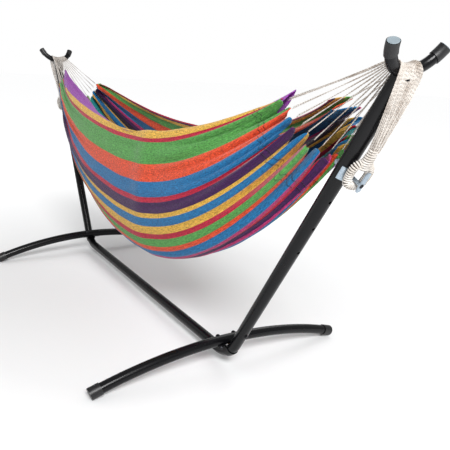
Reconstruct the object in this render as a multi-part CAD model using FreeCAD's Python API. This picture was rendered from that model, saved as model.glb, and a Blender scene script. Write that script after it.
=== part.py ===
"""Double hammock on a two-post tubular steel stand.

+X runs along the hammock, +Y across it and +Z up. The origin is on the
floor, midway between the posts. Both ends of the stand are the same, so
each end piece is made once, at the +X end, and turned half a turn about
Z for the other end.
"""
import FreeCAD, Part
import math
import os
from FreeCAD import Vector

# ---- stand: driving dimensions, mm ----
FOOT_SPAN = 1190.0          # across one foot, cap to cap
FOOT_APEX_Z = 112.0         # axis height at the top of a foot's arch
FOOT_D = 42.0
FOOT_WALL = 1.5
FOOT_CAP_WALL = 3.0
FOOT_CAP_LEN = 46.0
FOOT_CAP_FLAT = 2.0         # depth of the flat ground under each foot cap

TUBE_D = 45.0               # beam, elbow and post
TUBE_WALL = 1.8
BEAM_Z = 48.0               # beam axis height
CORNER_X = 773.0            # where the beam axis and the post axis would meet
BEND_R = 120.0              # elbow bend, centre line
ELBOW_LEG = 60.0            # straight leg of the elbow before its bend
ELBOW_RISE = 45.0           # straight leg of the elbow after its bend
SPIGOT_LEN = 70.0
SPIGOT_GAP = 0.2            # radial gap of a spigot in its tube
CROOK_GAP = 0.8             # between the foot and the inside of the elbow bend

SADDLE_X = 1265.0           # lowest point of the fork's centre line
SADDLE_Z = 1075.0
POST_TOP_DROP = 8.0         # the post's rim below the fork's centre line

FORK_D = 27.0
FORK_WALL = 1.5
FORK_R = 96.0               # fork bend, centre line
FORK_HALF_DEG = 68.0
FORK_CAP_WALL = 2.0
FORK_CAP_LEN = 30.0

# ---- rope hook and adjustment holes ----
HOLE_PITCH = 97.0
HOLE_D = 10.5
HOLE_COUNT = 4
FIRST_HOLE_S = 256.0        # from the saddle down the post
BAND_LEN = 36.0
BAND_LOW = 3.0                 # band middle below the bolt
BAND_SIDE = 9.0                # how far out the half band's edges stop
BAND_WALL = 3.0
BAND_GAP = 0.2
HOOK_BOLT_D = 10.0
HOOK_REACH = 75.0           # from the post axis to the middle of the cross plate
HOOK_PLATE = 4.0
HOOK_WIDTH = 16.0
HOOK_UP = 40.0              # cross plate above the bolt axis
HOOK_DOWN = 20.0            # cross plate below the bolt axis

# ---- ropes and fabric ----
STRING_D = 3.4
STRING_COUNT = 16
SADDLE_PITCH = 5.4          # strings side by side on the fork
WRAP_GAP = 0.4
FAN_CLEAR = 2.0             # swinging strings stand this far off the post
NECK_ROWS = 5.2             # strings enter the neck four deep
NECK_PITCH = 7.0
EYE_ROPE_D = 24.0
EYE_GAP = 22.0              # free width inside the eye
EYE_LEN = 34.0              # straight sides of the eye
NECK_SIZE = (34.0, 28.0, 48.0)
NECK_GAP = 0.3
NECK_TOP_GAP = 1.0
EYE_N = 50.0                # from the post axis to the eye's plane

BED_LOW_Z = (842.0, 270.0)  # side edges and bottom at their lowest
# each end of the bed: middle, sideways skew and bulge of its reach, edge height,
# bottom height and how sharply the side edge climbs to it
BED_RIGHT = (1012.5, 47.5, 107.5, 1015.0, 889.0, 1.85)
BED_LEFT = (887.5, -97.5, 132.5, 981.0, 872.0, 1.5)
BED_HALF_W = (195.0, 66.0)
BED_WALL = 3.0
BED_POWERS = (2.2, 2.5)      # bottom and width
BED_ROUND = 2.5             # squareness of the bed's section
BED_LOW_AT = 0.15            # where the side edges are lowest
BED_EASE = 0.1
TAB_GAP = 1.0

# ---- fasteners ----
M8_D = 8.0
M8_HOLE_D = 8.6
M8_HEX = 13.0
M8_NUT_H = 6.5
M10_HEX = 16.0
M10_NUT_H = 8.0
STRAP_WALL = 3.0
STRAP_LEN = 30.0
STRAP_GAP = 0.3
FOOT_BOLT_Y = 38.0
EAR_EDGE = 15.0             # from a foot bolt to the end of its ear
INSERT_D = 12.0
INSERT_LEN = 14.0

X = Vector(1, 0, 0)
Y = Vector(0, 1, 0)
Z = Vector(0, 0, 1)
ORIGIN = Vector(0, 0, 0)

# ---- places worked out from the dimensions ----
POST_U = Vector(SADDLE_X - CORNER_X, 0, SADDLE_Z - BEAM_Z).normalize()
POST_N = Vector(POST_U.z, 0, -POST_U.x)                 # outward, square to the post
BEND_DEG = math.degrees(math.atan2(POST_U.z, POST_U.x))
BEND_TANGENT = BEND_R * math.tan(math.radians(BEND_DEG / 2))
CORNER = Vector(CORNER_X, 0, BEAM_Z)
BEND_START = CORNER - X * BEND_TANGENT
BEND_END = CORNER + POST_U * BEND_TANGENT
BEND_CENTRE = BEND_START + Z * BEND_R
SEAM_BEAM = BEND_START - X * ELBOW_LEG
SEAM_POST = BEND_END + POST_U * ELBOW_RISE
SADDLE = Vector(SADDLE_X, 0, SADDLE_Z)

CROOK_R = BEND_R - TUBE_D / 2 - FOOT_D / 2 - CROOK_GAP
CROOK_DZ = BEND_CENTRE.z - FOOT_APEX_Z
FOOT_X = BEND_CENTRE.x + math.sqrt(CROOK_R ** 2 - CROOK_DZ ** 2)
FOOT_TOP = Vector(FOOT_X, 0, FOOT_APEX_Z)
FOOT_DIR = (FOOT_TOP - BEND_CENTRE).normalize()         # from the foot to the elbow
FOOT_CAP_R = FOOT_D / 2 + FOOT_CAP_WALL


def foot_arch():
    """Radius and half angle of the arch that sets the caps on the floor."""
    angle = 0.2
    for _ in range(30):
        rise = FOOT_APEX_Z + FOOT_CAP_FLAT - FOOT_CAP_R * math.cos(angle)
        run = FOOT_SPAN / 2 - FOOT_CAP_R * math.sin(angle)
        angle = 2 * math.atan2(rise, run)
    return run / math.sin(angle), math.degrees(angle)


ARCH_R, ARCH_DEG = foot_arch()
ARCH_CENTRE = FOOT_TOP - Z * ARCH_R
FORK_CENTRE = SADDLE + POST_U * FORK_R


def on_post(down, out=0.0, across=0.0):
    """A point beside the post, from its distance below the saddle."""
    return SADDLE - POST_U * down + POST_N * out + Y * across


def other_end(shape):
    """The same piece at the stand's other end."""
    copy = shape.copy()
    copy.rotate(ORIGIN, Z, 180)
    return copy


def rod(start, axis, length, diameter):
    return Part.makeCylinder(diameter / 2, length, start, axis)


def ring_face(centre, normal, outer_d, inner_d=0.0):
    outer = Part.Wire(Part.makeCircle(outer_d / 2, centre, normal))
    if not inner_d:
        return Part.Face(outer)
    inner = Part.Wire(Part.makeCircle(inner_d / 2, centre, normal))
    return Part.Face(outer).cut(Part.Face(inner)).Faces[0]


def rounded_path(points, radii):
    """Straight runs joined by tangent arcs, one radius per inner point."""
    edges = []
    start = points[0]
    for before, corner, after, radius in zip(points, points[1:], points[2:], radii):
        back = (before - corner).normalize()
        ahead = (after - corner).normalize()
        half = (math.pi - back.getAngle(ahead)) / 2
        reach = radius * math.tan(half)
        enter = corner + back * reach
        leave = corner + ahead * reach
        bisector = (back + ahead).normalize()
        middle = corner + bisector * (radius / math.cos(half) - radius)
        if (enter - start).Length > 1e-6:
            edges.append(Part.LineSegment(start, enter).toShape())
        edges.append(Part.Arc(enter, middle, leave).toShape())
        start = leave
    edges.append(Part.LineSegment(start, points[-1]).toShape())
    return Part.Wire(edges)


def tube_along(path, diameter):
    """A round bar swept along a wire."""
    first = path.Edges[0]
    start = first.valueAt(first.FirstParameter)
    normal = first.tangentAt(first.FirstParameter)
    profile = Part.Wire(Part.makeCircle(diameter / 2, start, normal))
    return path.makePipeShell([profile], True, False)


def hexagon(centre, axis, across_flats, height):
    """A hexagonal prism that grows from centre along axis."""
    circumradius = across_flats / math.sqrt(3)
    side = axis.cross(Y)
    if side.Length < 1e-6:
        side = Vector(X)
    side.normalize()
    other = axis.cross(side).normalize()
    corners = []
    for step in range(7):
        angle = math.radians(60 * step)
        corners.append(centre + side * (circumradius * math.cos(angle))
                       + other * (circumradius * math.sin(angle)))
    return Part.Face(Part.makePolygon(corners)).extrude(axis * height)


def dome_head(centre, axis, diameter, height):
    """A round bolt head with a domed top, flat at centre."""
    radius = diameter / 2
    ball_r = (radius ** 2 + height ** 2) / (2 * height)
    ball = Part.makeSphere(ball_r, centre + axis * (height - ball_r))
    return ball.common(Part.makeCylinder(radius, height, centre, axis))


# ---- stand ----
def centre_beam():
    length = 2 * SEAM_BEAM.x
    start = Vector(-SEAM_BEAM.x, 0, BEAM_Z)
    beam = rod(start, X, length, TUBE_D).cut(rod(start, X, length, TUBE_D - 2 * TUBE_WALL))
    for side in (-1, 1):
        x = side * (SEAM_BEAM.x - SPIGOT_LEN / 2)
        beam = beam.cut(rod(Vector(x, 0, 0), Z, BEAM_Z, M8_HOLE_D))
    return beam


def spigot_d():
    return TUBE_D - 2 * TUBE_WALL - 2 * SPIGOT_GAP


def elbow():
    """Bent tube with a reduced spigot at each end."""
    path = rounded_path([SEAM_BEAM, CORNER, SEAM_POST], [BEND_R])
    body = tube_along(path, TUBE_D)
    beam_spigot = rod(SEAM_BEAM - X * SPIGOT_LEN, X, SPIGOT_LEN, spigot_d())
    post_spigot = rod(SEAM_POST, POST_U, SPIGOT_LEN, spigot_d())
    solid = body.fuse([beam_spigot, post_spigot])
    bore_d = spigot_d() - 2 * TUBE_WALL
    bore_path = rounded_path([SEAM_BEAM - X * SPIGOT_LEN, CORNER,
                              SEAM_POST + POST_U * SPIGOT_LEN], [BEND_R])
    solid = solid.cut(tube_along(bore_path, bore_d))
    for centre, axis in joint_screws():
        solid = solid.cut(rod(centre, axis, TUBE_D / 2, INSERT_D))
    return solid.removeSplitter()


def joint_screws():
    """Axis point and outward direction of the two screws of one elbow."""
    return ((SEAM_BEAM - X * (SPIGOT_LEN / 2), -Z),
            (SEAM_POST + POST_U * (SPIGOT_LEN / 2), POST_N))


def thread_inserts():
    """Flanged nuts set in the spigot walls, level with their outside."""
    solids = []
    for centre, axis in joint_screws():
        top = centre + axis * (math.sqrt(spigot_d() ** 2 - INSERT_D ** 2) / 2)
        barrel = rod(top - axis * INSERT_LEN, axis, INSERT_LEN, INSERT_D)
        solids.append(barrel.cut(rod(top - axis * INSERT_LEN, axis, INSERT_LEN, M8_D)))
    return Part.makeCompound(solids)


def joint_bolts():
    """A domed screw under the beam and a hexagon screw on the post."""
    solids = []
    for (centre, axis), domed in zip(joint_screws(), (True, False)):
        seat = centre + axis * (TUBE_D / 2)
        shank_start = centre + axis * (spigot_d() / 2 - INSERT_LEN)
        shank = Part.makeCylinder(M8_D / 2, (seat - shank_start).Length + 1, shank_start, axis)
        head = dome_head(seat, axis, 15.0, 5.0) if domed else hexagon(seat, axis, M8_HEX, 5.5)
        solids.append(head.fuse(shank).removeSplitter())
    return Part.makeCompound(solids)


def post():
    """Straight tube, coped round the fork, with its row of adjustment holes."""
    top = SADDLE - POST_U * POST_TOP_DROP
    length = (top - SEAM_POST).Length
    tube = rod(SEAM_POST, POST_U, length, TUBE_D)
    tube = tube.cut(rod(SEAM_POST, POST_U, length, TUBE_D - 2 * TUBE_WALL))
    tube = tube.cut(fork_ring(FORK_D, 0.0, -FORK_HALF_DEG, FORK_HALF_DEG))
    for index in range(HOLE_COUNT):
        centre = on_post(FIRST_HOLE_S + index * HOLE_PITCH, -TUBE_D)
        tube = tube.cut(rod(centre, POST_N, 2 * TUBE_D, HOLE_D))
    screw, axis = joint_screws()[1]
    tube = tube.cut(rod(screw, axis, TUBE_D, M8_HOLE_D))
    return largest(tube)


def largest(shape):
    return max(shape.Solids, key=lambda solid: solid.Volume)


def fork_ring(outer_d, inner_d, from_deg, to_deg):
    """Part of the fork's bend, from one angle to another about its centre."""
    radial = POST_U * -1
    start = FORK_CENTRE + radial * FORK_R
    face = ring_face(start, Y, outer_d, inner_d)
    face.rotate(FORK_CENTRE, POST_N, from_deg)
    return face.revolve(FORK_CENTRE, POST_N, to_deg - from_deg)


def fork():
    end_deg = FORK_HALF_DEG - math.degrees(FORK_CAP_WALL / FORK_R)
    return fork_ring(FORK_D, FORK_D - 2 * FORK_WALL, -end_deg, end_deg)


def fork_caps():
    """Sleeve caps with a closed end on both arms."""
    end_deg = FORK_HALF_DEG - math.degrees(FORK_CAP_WALL / FORK_R)
    sleeve_deg = math.degrees(FORK_CAP_LEN / FORK_R)
    cap_d = FORK_D + 2 * FORK_CAP_WALL
    sleeve = fork_ring(cap_d, FORK_D, FORK_HALF_DEG - sleeve_deg, end_deg)
    disc = fork_ring(cap_d, 0.0, end_deg, FORK_HALF_DEG)
    cap = sleeve.fuse(disc).removeSplitter()
    twin = cap.copy().mirror(ORIGIN, Y)
    return Part.makeCompound([cap, twin])


def arch_ring(outer_d, inner_d, from_deg, to_deg):
    """Part of the foot's arch, from one angle to another about its centre."""
    face = ring_face(FOOT_TOP, Y, outer_d, inner_d)
    face.rotate(ARCH_CENTRE, X, from_deg)
    return face.revolve(ARCH_CENTRE, X, to_deg - from_deg)


def foot_tube():
    end_deg = ARCH_DEG - math.degrees(FOOT_CAP_WALL / ARCH_R)
    foot = arch_ring(FOOT_D, FOOT_D - 2 * FOOT_WALL, -end_deg, end_deg)
    for centre in foot_bolt_centres():
        foot = foot.cut(rod(centre - FOOT_DIR * FOOT_D, FOOT_DIR, 2 * FOOT_D, M8_HOLE_D))
    return foot


def foot_caps():
    """Push-on caps with a closed end, ground flat where they stand."""
    end_deg = ARCH_DEG - math.degrees(FOOT_CAP_WALL / ARCH_R)
    sleeve_deg = math.degrees(FOOT_CAP_LEN / ARCH_R)
    cap_d = 2 * FOOT_CAP_R
    sleeve = arch_ring(cap_d, FOOT_D, ARCH_DEG - sleeve_deg, end_deg)
    disc = arch_ring(cap_d, 0.0, end_deg, ARCH_DEG)
    cap = sleeve.fuse(disc).removeSplitter()
    size = 4 * cap_d
    floor = Part.makeBox(2 * size, 2 * FOOT_SPAN, size, Vector(FOOT_X - size, -FOOT_SPAN, -size))
    cap = cap.cut(floor)
    twin = cap.copy().mirror(ORIGIN, Y)
    return Part.makeCompound([cap, twin])


def foot_bolt_centres():
    """Where the two foot bolts cross the foot's centre line."""
    angle = math.asin(FOOT_BOLT_Y / ARCH_R)
    height = ARCH_CENTRE.z + ARCH_R * math.cos(angle)
    return [Vector(FOOT_X, side * FOOT_BOLT_Y, height) for side in (-1, 1)]


def ear_outer_y():
    return FOOT_BOLT_Y + EAR_EDGE


def ear_level():
    """From the foot's centre line to the ears, clear of the arch beyond them."""
    arch_drop = ARCH_R - math.sqrt(ARCH_R ** 2 - ear_outer_y() ** 2)
    return FOOT_D / 2 + STRAP_GAP + arch_drop


def foot_bracket():
    """Strap round the outside of the elbow with an ear on each side for the foot."""
    inner = TUBE_D / 2 + STRAP_GAP
    outer = inner + STRAP_WALL
    elbow_level = BEND_R - CROOK_R
    tip = ear_outer_y()
    centre = FOOT_TOP + FOOT_DIR * elbow_level

    def at(level, across):
        return FOOT_TOP + FOOT_DIR * level + Y * across

    level = ear_level()
    edges = [
        Part.LineSegment(at(level, -tip), at(level, -inner)),
        Part.LineSegment(at(level, -inner), at(elbow_level, -inner)),
        Part.Arc(at(elbow_level, -inner), centre + FOOT_DIR * inner, at(elbow_level, inner)),
        Part.LineSegment(at(elbow_level, inner), at(level, inner)),
        Part.LineSegment(at(level, inner), at(level, tip)),
        Part.LineSegment(at(level, tip), at(level + STRAP_WALL, tip)),
        Part.LineSegment(at(level + STRAP_WALL, tip), at(level + STRAP_WALL, outer)),
        Part.LineSegment(at(level + STRAP_WALL, outer), at(elbow_level, outer)),
        Part.Arc(at(elbow_level, outer), centre + FOOT_DIR * outer, at(elbow_level, -outer)),
        Part.LineSegment(at(elbow_level, -outer), at(level + STRAP_WALL, -outer)),
        Part.LineSegment(at(level + STRAP_WALL, -outer), at(level + STRAP_WALL, -tip)),
        Part.LineSegment(at(level + STRAP_WALL, -tip), at(level, -tip)),
    ]
    face = Part.Face(Part.Wire([edge.toShape() for edge in edges]))
    half_deg = math.degrees(STRAP_LEN / 2 / BEND_R)
    face.rotate(BEND_CENTRE, Y, -half_deg)
    strap = face.revolve(BEND_CENTRE, Y, 2 * half_deg)
    for point in foot_bolt_centres():
        strap = strap.cut(rod(point, FOOT_DIR, 2 * FOOT_D, M8_HOLE_D))
    return strap


def foot_bolts():
    """Domed bolts through the foot and the bracket ears."""
    solids = []
    for point in foot_bolt_centres():
        seat = point - FOOT_DIR * (FOOT_D / 2 + STRAP_GAP)
        length = FOOT_D + 2 * STRAP_GAP + STRAP_WALL + M8_NUT_H + 4.0
        shank = rod(seat, FOOT_DIR, length, M8_D)
        solids.append(dome_head(seat, FOOT_DIR * -1, 18.0, 6.5).fuse(shank).removeSplitter())
    return Part.makeCompound(solids)


def foot_nuts():
    solids = []
    for point in foot_bolt_centres():
        seat = point + FOOT_DIR * (ear_level() + STRAP_WALL + 0.6)
        nut = hexagon(seat, FOOT_DIR, M8_HEX, M8_NUT_H)
        solids.append(nut.cut(rod(seat - FOOT_DIR, FOOT_DIR, 2 * M8_NUT_H, M8_D)))
    return Part.makeCompound(solids)


# ---- rope hooks ----
def hook_band():
    """Part band round the outside of the post."""
    inner_d = TUBE_D + 2 * BAND_GAP
    start = on_post(FIRST_HOLE_S + BAND_LOW + BAND_LEN / 2)
    band = rod(start, POST_U, BAND_LEN, inner_d + 2 * BAND_WALL)
    band = band.cut(rod(start, POST_U, BAND_LEN, inner_d))
    size = 2 * TUBE_D
    block = Part.makeBox(size, 2 * size, 2 * size, Vector(-size, -size, -size))
    block.rotate(ORIGIN, Y, 90 - BEND_DEG)
    block.translate(on_post(FIRST_HOLE_S, BAND_SIDE))
    band = largest(band.cut(block))
    return band.cut(rod(on_post(FIRST_HOLE_S), POST_N, size, HOLE_D))


def hook_bolt():
    """Bolt through band and post, with a rod end that carries the cross plate."""
    inside = -(TUBE_D / 2 + M10_NUT_H + 5.0)
    start = on_post(FIRST_HOLE_S, inside)
    plate_face = HOOK_REACH - HOOK_PLATE / 2
    bolt = rod(start, POST_N, plate_face - inside, HOOK_BOLT_D)
    collar_start = TUBE_D / 2 + BAND_GAP + BAND_WALL
    collar = rod(on_post(FIRST_HOLE_S, collar_start), POST_N, 4.0, HOOK_BOLT_D + 8.0)
    return bolt.fuse(collar).removeSplitter()


def hook_plate():
    """Cross plate on the end of the bolt, which stops the eye slipping off."""
    near = HOOK_REACH - HOOK_PLATE / 2
    corners = []
    for down, across in ((HOOK_DOWN, -1), (HOOK_DOWN, 1), (-HOOK_UP, 1), (-HOOK_UP, -1)):
        corners.append(on_post(FIRST_HOLE_S + down, near, across * HOOK_WIDTH / 2))
    corners.append(corners[0])
    plate = Part.Face(Part.makePolygon(corners)).extrude(POST_N * HOOK_PLATE)
    ends = [edge for edge in plate.Edges if abs(edge.tangentAt(0).dot(POST_N)) > 0.99]
    return plate.makeFillet(HOOK_WIDTH * 0.4, ends)


def hook_nut():
    seat = on_post(FIRST_HOLE_S, -(TUBE_D / 2 + 0.4))
    nut = hexagon(seat, POST_N * -1, M10_HEX, M10_NUT_H)
    return nut.cut(rod(seat + POST_N, POST_N * -1, 2 * M10_NUT_H, HOOK_BOLT_D))


# ---- ropes ----
def eye_bottom_s():
    """Centre line of the eye's lower bend, below the saddle."""
    return FIRST_HOLE_S + HOOK_BOLT_D / 2 + EYE_ROPE_D / 2 + NECK_GAP


def rope_eye():
    """Closed loop of whipped rope hanging round the hook."""
    half = (EYE_GAP + EYE_ROPE_D) / 2
    low = eye_bottom_s() - half
    high = low - EYE_LEN

    def at(down, across):
        return on_post(down, EYE_N, across)

    path = Part.Wire([
        Part.LineSegment(at(high, -half), at(low, -half)).toShape(),
        Part.Arc(at(low, -half), at(low + half, 0), at(low, half)).toShape(),
        Part.LineSegment(at(low, half), at(high, half)).toShape(),
    ])
    return tube_along(path, EYE_ROPE_D)


def neck_base_s():
    return eye_bottom_s() - (EYE_GAP + EYE_ROPE_D) / 2 - EYE_LEN - NECK_GAP


def rope_neck():
    """The whipped bundle where the strings meet above the eye."""
    across, deep, tall = NECK_SIZE
    corners = []
    for side, out in ((-1, -1), (1, -1), (1, 1), (-1, 1)):
        corners.append(on_post(neck_base_s(), EYE_N + out * deep / 2, side * across / 2))
    corners.append(corners[0])
    neck = Part.Face(Part.makePolygon(corners)).extrude(POST_U * tall)
    uprights = [edge for edge in neck.Edges if abs(edge.tangentAt(0).dot(POST_U)) > 0.99]
    return neck.makeFillet(deep * 0.4, uprights)


def string_angles():
    """Place of each string on the fork, as an angle about the fork's centre."""
    pitch = math.degrees(SADDLE_PITCH / FORK_R)
    return [(index - (STRING_COUNT - 1) / 2) * pitch for index in range(STRING_COUNT)]


def tab_point(index, end):
    """End of the bed where a string is sewn on, turned to the right end."""
    share = -1 + 2 * index / (STRING_COUNT - 1)
    inset = 1 - 2 * STRING_D / BED_HALF_W[1]
    point = bed_point(end, end * share * inset)
    return Vector(end * point.x, end * point.y, point.z)


def saddle_frame(angle):
    """Centre of the fork at an angle, and the direction to the fork's centre."""
    turn = math.radians(angle)
    inward = POST_U * math.cos(turn) - Y * math.sin(turn)
    return FORK_CENTRE - inward * FORK_R, inward


def round_fork(angle, contact_deg, scale=1.0):
    """A point beside the fork, on the circle that a string's centre follows."""
    centre, inward = saddle_frame(angle)
    turn = math.radians(contact_deg)
    radius = (FORK_D / 2 + STRING_D / 2 + WRAP_GAP) * scale
    return centre + POST_N * (radius * math.cos(turn)) + inward * (radius * math.sin(turn))


def leave_angle():
    """Contact angle at which a string leaves the fork for the middle of the bed end."""
    aim = bed_point(1.0, 0.4) - SADDLE
    return math.degrees(math.atan2(aim.dot(POST_U), aim.dot(POST_N))) + 360 - 90


def rope_tails():
    """Strings from the neck up and over the fork, side by side."""
    inner_deg = leave_angle()
    outer_deg = 35.0
    step = (inner_deg - outer_deg) / 4
    corner_scale = 1 / math.cos(math.radians(step))
    wrap_r = FORK_D / 2 + STRING_D / 2 + WRAP_GAP
    rim_n = TUBE_D / 2 + STRING_D + WRAP_GAP
    neck_top = neck_base_s() - NECK_SIZE[2] - NECK_TOP_GAP
    solids = []
    for index, angle in enumerate(string_angles()):
        centre, inward = saddle_frame(angle)
        start = round_fork(angle, inner_deg)
        turn = math.radians(inner_deg + 90)
        away = POST_N * math.cos(turn) + inward * math.sin(turn)
        row = index % 4 - 1.5
        column = index // 4 - 1.5
        points = [
            start + away * 8.0,
            round_fork(angle, inner_deg - step, corner_scale),
            round_fork(angle, outer_deg + step, corner_scale),
            centre + POST_N * rim_n - inward * (POST_TOP_DROP + 2.0),
            on_post(neck_top, EYE_N + row * NECK_ROWS, column * NECK_PITCH),
        ]
        path = rounded_path(points, [wrap_r, wrap_r, 3 * STRING_D])
        solids.append(tube_along(path, STRING_D))
    return Part.makeCompound(solids)


def string_fan(side):
    """Straight strings from beside the fork to the end of the bed."""
    beside = TUBE_D / 2 + STRING_D / 2 + FAN_CLEAR
    solids = []
    for index, angle in enumerate(string_angles()):
        tip = tab_point(index, side)
        centre, inward = saddle_frame(angle)
        start = centre - POST_N * beside - inward * POST_TOP_DROP
        ahead = (tip - start).normalize()
        end = tip - ahead * TAB_GAP
        solids.append(rod(start, ahead, (end - start).Length, STRING_D))
    return Part.makeCompound(solids)


# ---- bed ----
def bed_point(along, across, inset=0.0, lift=0.0):
    """A point of the bed; along and across run from -1 to 1."""
    bottom_power, width_power = BED_POWERS
    middle, skew, bulge, top_z, end_z, climb = BED_RIGHT if along >= 0 else BED_LEFT
    half_turn = across * math.pi / 2
    sine = math.copysign(abs(math.sin(half_turn)) ** (2 / BED_ROUND), half_turn)
    cosine = abs(math.cos(half_turn)) ** (2 / BED_ROUND)
    size = min(abs(along), 1.0)
    if along >= BED_LOW_AT:
        away = (along - BED_LOW_AT) / (1 - BED_LOW_AT)
        top_z, climb = BED_RIGHT[3], BED_RIGHT[5]
    else:
        away = (BED_LOW_AT - along) / (1 + BED_LOW_AT)
        top_z, climb = BED_LEFT[3], BED_LEFT[5]
    eased = (math.hypot(min(away, 1.0), BED_EASE) - BED_EASE) / (math.hypot(1, BED_EASE) - BED_EASE)
    edge_z = BED_LOW_Z[0] + (top_z - BED_LOW_Z[0]) * eased ** climb
    bottom_z = BED_LOW_Z[1] + (end_z - BED_LOW_Z[1]) * size ** bottom_power
    half_w = BED_HALF_W[1] + (BED_HALF_W[0] - BED_HALF_W[1]) * (1 - size ** width_power)
    depth = edge_z - bottom_z - inset
    x = along * (middle + skew * sine + bulge * cosine)
    return Vector(x, (half_w - inset) * sine, edge_z + lift - (depth + lift) * cosine)


def bed_section(along, inset, lift):
    """Closed section of the bed in its own slanted plane."""
    places = [-1, -0.86, -0.68, -0.46, -0.22, 0, 0.22, 0.46, 0.68, 0.86, 1]
    points = [bed_point(along, place, inset, lift) for place in places]
    curve = Part.BSplineCurve()
    curve.interpolate(points)
    return Part.Wire([curve.toShape(), Part.LineSegment(points[-1], points[0]).toShape()])


def hammock_bed():
    """Open trough of fabric."""
    stations = [-1, -0.85, -0.68, -0.5, -0.3, -0.1, 0.1, 0.3, 0.5, 0.68, 0.85, 1]
    outer = Part.makeLoft([bed_section(s, 0.0, 0.0) for s in stations], True, False)
    reach = [s * 1.01 if abs(s) == 1 else s for s in stations]
    inner = Part.makeLoft([bed_section(s, BED_WALL, 2 * BED_WALL) for s in reach], True, False)
    return largest(outer.cut(inner))


NODES = {
    "centre_beam": centre_beam(),
    "hammock_bed": hammock_bed(),
}
END_PIECES = {
    "elbow": elbow(),
    "post": post(),
    "joint_bolts": joint_bolts(),
    "thread_inserts": thread_inserts(),
    "fork": fork(),
    "fork_caps": fork_caps(),
    "foot_tube": foot_tube(),
    "foot_caps": foot_caps(),
    "foot_bracket": foot_bracket(),
    "foot_bolts": foot_bolts(),
    "foot_nuts": foot_nuts(),
    "hook_band": hook_band(),
    "hook_bolt": hook_bolt(),
    "hook_plate": hook_plate(),
    "hook_nut": hook_nut(),
    "rope_eye": rope_eye(),
    "rope_neck": rope_neck(),
    "rope_tails": rope_tails(),
}
for name, piece in END_PIECES.items():
    NODES[name + "_right"] = piece
    NODES[name + "_left"] = other_end(piece)
NODES["string_fan_right"] = string_fan(1)
NODES["string_fan_left"] = other_end(string_fan(-1))

os.makedirs("parts", exist_ok=True)
for name, shape in NODES.items():
    shape.exportStep("parts/" + name + ".step")
    box = shape.BoundBox
    print(name, len(shape.Solids), round(shape.Volume), shape.isValid(),
          [round(v, 1) for v in (box.XMin, box.YMin, box.ZMin, box.XMax, box.YMax, box.ZMax)])
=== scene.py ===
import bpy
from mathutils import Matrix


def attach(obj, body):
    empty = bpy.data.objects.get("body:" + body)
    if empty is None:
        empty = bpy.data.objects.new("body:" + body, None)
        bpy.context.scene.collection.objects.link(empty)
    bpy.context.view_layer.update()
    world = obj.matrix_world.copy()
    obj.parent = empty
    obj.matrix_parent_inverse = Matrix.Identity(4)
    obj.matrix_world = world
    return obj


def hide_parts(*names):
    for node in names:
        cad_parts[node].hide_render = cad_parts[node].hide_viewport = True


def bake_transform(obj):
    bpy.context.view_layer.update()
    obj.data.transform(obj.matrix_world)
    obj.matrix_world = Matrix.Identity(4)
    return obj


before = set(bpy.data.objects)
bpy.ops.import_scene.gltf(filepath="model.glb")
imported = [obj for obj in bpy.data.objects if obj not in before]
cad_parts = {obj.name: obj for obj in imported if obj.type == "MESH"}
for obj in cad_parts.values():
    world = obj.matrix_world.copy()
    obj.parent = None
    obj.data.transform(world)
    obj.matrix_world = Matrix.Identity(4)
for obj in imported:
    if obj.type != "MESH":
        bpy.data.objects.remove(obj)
"""A striped cotton hammock on a black steel stand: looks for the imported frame."""
import logging
import math
from dataclasses import dataclass, field
from enum import Enum

import bmesh
import bpy
from mathutils import Matrix, Vector, noise

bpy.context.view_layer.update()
log = logging.getLogger("hammock")
Point = Vector
Colour = tuple[float, float, float]


class End(Enum):
    """The two ends of the stand, with the turn that takes the right end there."""

    RIGHT = "right"
    LEFT = "left"

    def place(self, point: Point) -> Point:
        """A point worked out for the right end, at this end."""
        return point if self is End.RIGHT else Vector((-point.x, -point.y, point.z))


class Body(Enum):
    """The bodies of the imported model."""

    STAND = "stand"
    BED = "bed"


def linear(red: int, green: int, blue: int) -> Colour:
    """A screen colour of 0 to 255 as linear light."""
    def one(value: int) -> float:
        share = value / 255
        return share / 12.92 if share <= 0.04045 else ((share + 0.055) / 1.055) ** 2.4
    return one(red), one(green), one(blue)


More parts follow.
